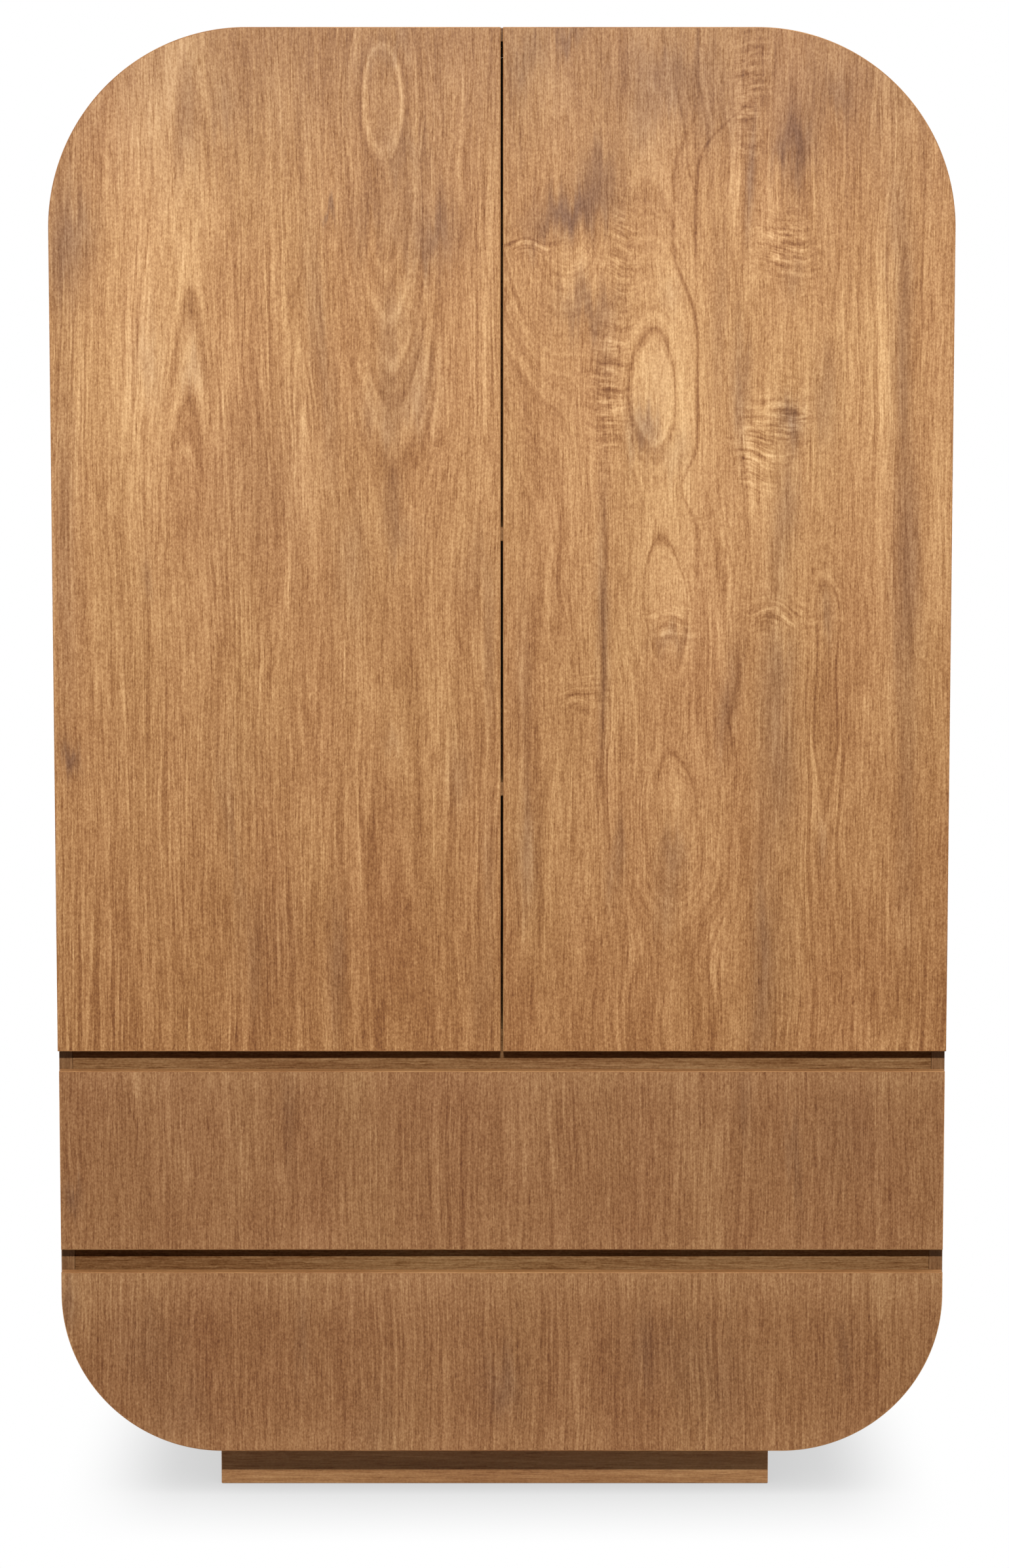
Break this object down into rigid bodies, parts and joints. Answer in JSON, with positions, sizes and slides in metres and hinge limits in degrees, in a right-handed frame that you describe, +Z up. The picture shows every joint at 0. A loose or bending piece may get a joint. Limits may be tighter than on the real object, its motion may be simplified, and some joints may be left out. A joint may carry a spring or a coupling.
{
  "type": "tall storage cabinet",
  "caption": "Tall freestanding cabinet: a shell with rounded corners, slab doors over full-width drawers opened by finger grooves, shelves inside, on a recessed plinth.",
  "frame": {"origin": "on the floor, under the middle of the cabinet's overall box", "axes": "+Z up, the doors and drawer fronts face -Y, +X to the viewer's right when facing the front"},
  "size_m": [1.2, 0.51, 1.98],
  "materials": {
    "door_veneer": "satin, vertical grain with light figure",
    "drawer_front_veneer": "satin, vertical grain",
    "rail_veneer": "satin, horizontal grain",
    "shell_veneer": "satin, grain following the shell round its corners",
    "inside_veneer": "matt",
    "drawer_box_wood": "clear lacquered, matt",
    "hinge_steel": "nickel plated, satin",
    "slide_steel": "zinc plated"
  },
  "bodies": {
    "cabinet": {"top_panel": "shell_veneer", "bottom_panel": "shell_veneer", "left_side_panel": "shell_veneer", "right_side_panel": "shell_veneer", "top_left_corner": "shell_veneer", "top_right_corner": "shell_veneer", "bottom_left_corner": "shell_veneer", "bottom_right_corner": "shell_veneer", "plinth_front": "rail_veneer", "plinth_back": "rail_veneer", "plinth_left": "rail_veneer", "plinth_right": "rail_veneer", "back_panel": "inside_veneer", "deck_panel": "inside_veneer", "lower_shelf": "inside_veneer", "upper_shelf": "inside_veneer", "left_runner_panel": "inside_veneer", "right_runner_panel": "inside_veneer", "upper_rail": "rail_veneer", "lower_rail": "rail_veneer", "lower_shelf_pin_left_front": "hinge_steel", "lower_shelf_pin_left_back": "hinge_steel", "lower_shelf_pin_right_front": "hinge_steel", "lower_shelf_pin_right_back": "hinge_steel", "upper_shelf_pin_left_front": "hinge_steel", "upper_shelf_pin_left_back": "hinge_steel", "upper_shelf_pin_right_front": "hinge_steel", "upper_shelf_pin_right_back": "hinge_steel", "left_hinge_arm_bottom": "hinge_steel", "left_hinge_arm_middle": "hinge_steel", "left_hinge_arm_top": "hinge_steel", "right_hinge_arm_bottom": "hinge_steel", "right_hinge_arm_middle": "hinge_steel", "right_hinge_arm_top": "hinge_steel", "lower_drawer_slide_channel_left": "slide_steel", "lower_drawer_slide_channel_right": "slide_steel", "upper_drawer_slide_channel_left": "slide_steel", "upper_drawer_slide_channel_right": "slide_steel"},
    "left_door": {"left_door": "door_veneer", "left_hinge_cup_bottom": "hinge_steel", "left_hinge_cup_middle": "hinge_steel", "left_hinge_cup_top": "hinge_steel"},
    "right_door": {"right_door": "door_veneer", "right_hinge_cup_bottom": "hinge_steel", "right_hinge_cup_middle": "hinge_steel", "right_hinge_cup_top": "hinge_steel"},
    "upper_drawer": {"upper_drawer_front": "drawer_front_veneer", "upper_drawer_left_side": "drawer_box_wood", "upper_drawer_right_side": "drawer_box_wood", "upper_drawer_back": "drawer_box_wood", "upper_drawer_bottom": "drawer_box_wood", "upper_drawer_slide_rail_left": "slide_steel", "upper_drawer_slide_rail_right": "slide_steel"},
    "lower_drawer": {"lower_drawer_front": "drawer_front_veneer", "lower_drawer_left_side": "drawer_box_wood", "lower_drawer_right_side": "drawer_box_wood", "lower_drawer_back": "drawer_box_wood", "lower_drawer_bottom": "drawer_box_wood", "lower_drawer_slide_rail_left": "slide_steel", "lower_drawer_slide_rail_right": "slide_steel"}
  },
  "joints": [
    {"name": "left_door_hinge", "type": "hinge", "parent": "cabinet", "child": "left_door", "pos_m": [-0.598, -0.253, 0.614], "axis": [0, 0, -1], "range_deg": [0, 110]},
    {"name": "right_door_hinge", "type": "hinge", "parent": "cabinet", "child": "right_door", "pos_m": [0.598, -0.253, 0.614], "axis": [0, 0, 1], "range_deg": [0, 110]},
    {"name": "upper_drawer_slide", "type": "slide", "parent": "cabinet", "child": "upper_drawer", "axis": [0, -1, 0], "range_m": [0, 0.33]},
    {"name": "lower_drawer_slide", "type": "slide", "parent": "cabinet", "child": "lower_drawer", "axis": [0, -1, 0], "range_m": [0, 0.33]}
  ]
}
